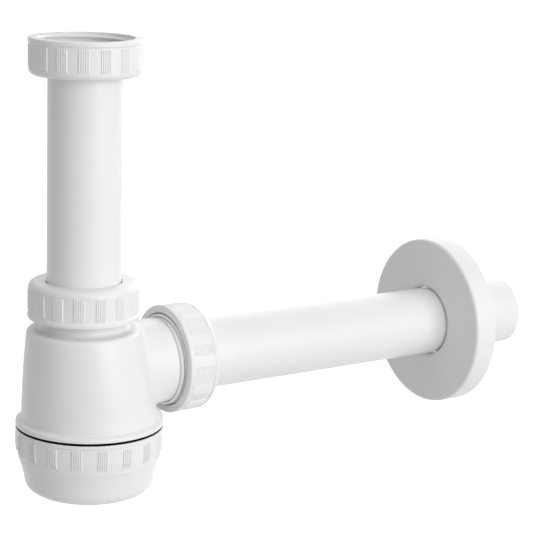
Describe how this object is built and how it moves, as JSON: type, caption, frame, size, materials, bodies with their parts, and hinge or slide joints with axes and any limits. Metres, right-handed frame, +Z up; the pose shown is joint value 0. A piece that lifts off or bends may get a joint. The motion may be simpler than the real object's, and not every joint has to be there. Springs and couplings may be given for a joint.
{
  "type": "basin bottle trap",
  "caption": "Bottle trap for a wash basin: threaded inlet nut on an upright tube, bottle body with a screw-off cup, side branch with an outlet tube and a round wall rosette.",
  "frame": {"origin": "centre of the inlet nut's threaded mouth, on the inlet tube's axis", "axes": "+Z up the inlet tube, +X along the outlet tube towards the wall"},
  "size_m": [0.2684, 0.0786, 0.2005],
  "materials": {
    "white_moulding": "smooth satin",
    "white_nut": "smooth satin",
    "white_tube": "smooth satin",
    "white_rosette": "smooth satin",
    "white_seal": "soft matt",
    "black_rubber": "matt"
  },
  "bodies": {
    "trap_body": {"trap_body": "white_moulding"},
    "cup_seal": {"cup_seal": "black_rubber"},
    "trap_cup": {"trap_cup": "white_moulding"},
    "neck_slip_ring": {"neck_slip_ring": "white_nut"},
    "neck_nut": {"neck_nut": "white_nut"},
    "inlet_seal": {"inlet_seal": "white_seal"},
    "inlet_tube": {"inlet_tube": "white_tube", "inlet_gasket": "white_seal"},
    "inlet_nut": {"inlet_nut": "white_nut"},
    "outlet_slip_ring": {"outlet_slip_ring": "white_nut"},
    "outlet_nut": {"outlet_nut": "white_nut"},
    "outlet_seal": {"outlet_seal": "white_seal"},
    "outlet_tube": {"outlet_tube": "white_tube"},
    "wall_rosette": {"wall_rosette": "white_rosette"}
  },
  "joints": [
    {"name": "inlet_turn", "type": "hinge", "parent": "trap_body", "child": "inlet_seal", "pos_m": [0, 0, -0.113], "axis": [0, 0, 1], "continuous": true},
    {"name": "inlet_height", "type": "slide", "parent": "inlet_seal", "child": "inlet_tube", "axis": [0, 0, 1], "range_m": [-0.035, 0.018]},
    {"name": "inlet_nut_drop", "type": "slide", "parent": "inlet_tube", "child": "inlet_nut", "axis": [0, 0, -1], "range_m": [0, 0.07]},
    {"name": "neck_nut_turn", "type": "hinge", "parent": "trap_body", "child": "neck_slip_ring", "pos_m": [0, 0, -0.1084], "axis": [0, 0, 1], "range_deg": [0, 1325.25]},
    {"name": "neck_nut_lift", "type": "slide", "parent": "neck_slip_ring", "child": "neck_nut", "axis": [0, 0, 1], "range_m": [0, 0.0086]},
    {"name": "cup_turn", "type": "hinge", "parent": "trap_body", "child": "cup_seal", "pos_m": [0.0034, 0, -0.1694], "axis": [0, 0, -1], "range_deg": [0, 765]},
    {"name": "cup_drop", "type": "slide", "parent": "cup_seal", "child": "trap_cup", "axis": [0, 0, -1], "range_m": [0, 0.0086]},
    {"name": "outlet_nut_turn", "type": "hinge", "parent": "trap_body", "child": "outlet_slip_ring", "pos_m": [0.053, 0, -0.1452], "axis": [1, 0, 0], "range_deg": [0, 1325.25]},
    {"name": "outlet_nut_back", "type": "slide", "parent": "outlet_slip_ring", "child": "outlet_nut", "axis": [1, 0, 0], "range_m": [0, 0.0086]},
    {"name": "outlet_turn", "type": "hinge", "parent": "trap_body", "child": "outlet_seal", "pos_m": [0.048, 0, -0.1452], "axis": [1, 0, 0], "continuous": true},
    {"name": "outlet_reach", "type": "slide", "parent": "outlet_seal", "child": "outlet_tube", "axis": [1, 0, 0], "range_m": [-0.003, 0.012]},
    {"name": "rosette_slide", "type": "slide", "parent": "outlet_tube", "child": "wall_rosette", "axis": [1, 0, 0], "range_m": [-0.12, 0.03]}
  ],
  "couplings": [
    {"joint": "neck_nut_lift", "follows": "neck_nut_turn", "m_per_rad": 0.00036749},
    {"joint": "cup_drop", "follows": "cup_turn", "m_per_rad": 0.00063662},
    {"joint": "outlet_nut_back", "follows": "outlet_nut_turn", "m_per_rad": 0.00036749}
  ]
}
